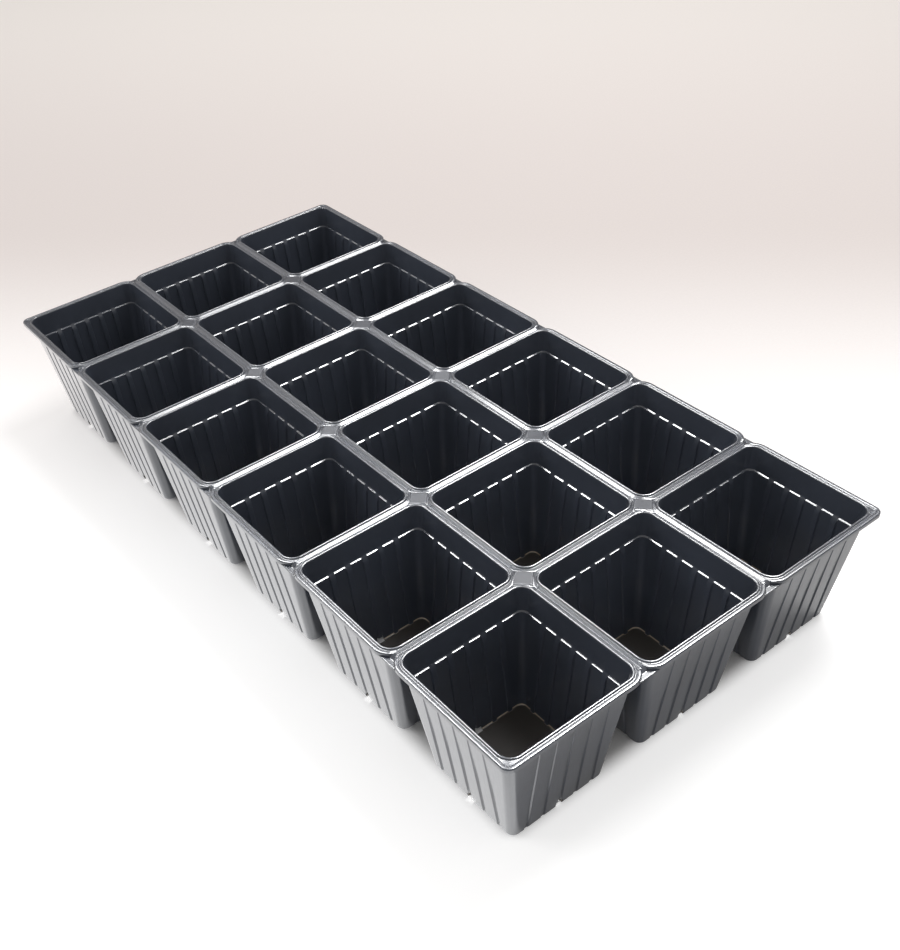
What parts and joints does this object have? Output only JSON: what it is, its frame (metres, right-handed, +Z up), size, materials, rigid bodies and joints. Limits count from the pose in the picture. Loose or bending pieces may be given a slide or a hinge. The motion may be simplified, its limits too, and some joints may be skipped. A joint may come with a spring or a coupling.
{
  "type": "seedling cell insert",
  "caption": "Rectangular black plastic insert of square fluted pots in a grid, each with a stepped collar, rolled lip and base drain slots, joined at the rims by tear-off webs.",
  "frame": {"origin": "on the ground, under the middle of the whole insert", "axes": "+X along the short side, +Y along the long side, +Z up out of the pots' mouths"},
  "size_m": [0.2658, 0.5298, 0.077],
  "materials": {
    "formed_sheet": "satin black, as vacuum formed"
  },
  "bodies": {
    "root": {"pot_r1_c1": "formed_sheet", "pot_r1_c2": "formed_sheet", "pot_r1_c3": "formed_sheet", "pot_r2_c1": "formed_sheet", "pot_r2_c2": "formed_sheet", "pot_r2_c3": "formed_sheet", "pot_r3_c1": "formed_sheet", "pot_r3_c2": "formed_sheet", "pot_r3_c3": "formed_sheet", "pot_r4_c1": "formed_sheet", "pot_r4_c2": "formed_sheet", "pot_r4_c3": "formed_sheet", "pot_r5_c1": "formed_sheet", "pot_r5_c2": "formed_sheet", "pot_r5_c3": "formed_sheet", "pot_r6_c1": "formed_sheet", "pot_r6_c2": "formed_sheet", "pot_r6_c3": "formed_sheet", "cross_web_1": "formed_sheet", "cross_web_2": "formed_sheet", "cross_web_3": "formed_sheet", "cross_web_4": "formed_sheet", "cross_web_5": "formed_sheet", "long_web_1": "formed_sheet", "long_web_2": "formed_sheet"}
  },
  "joints": []
}
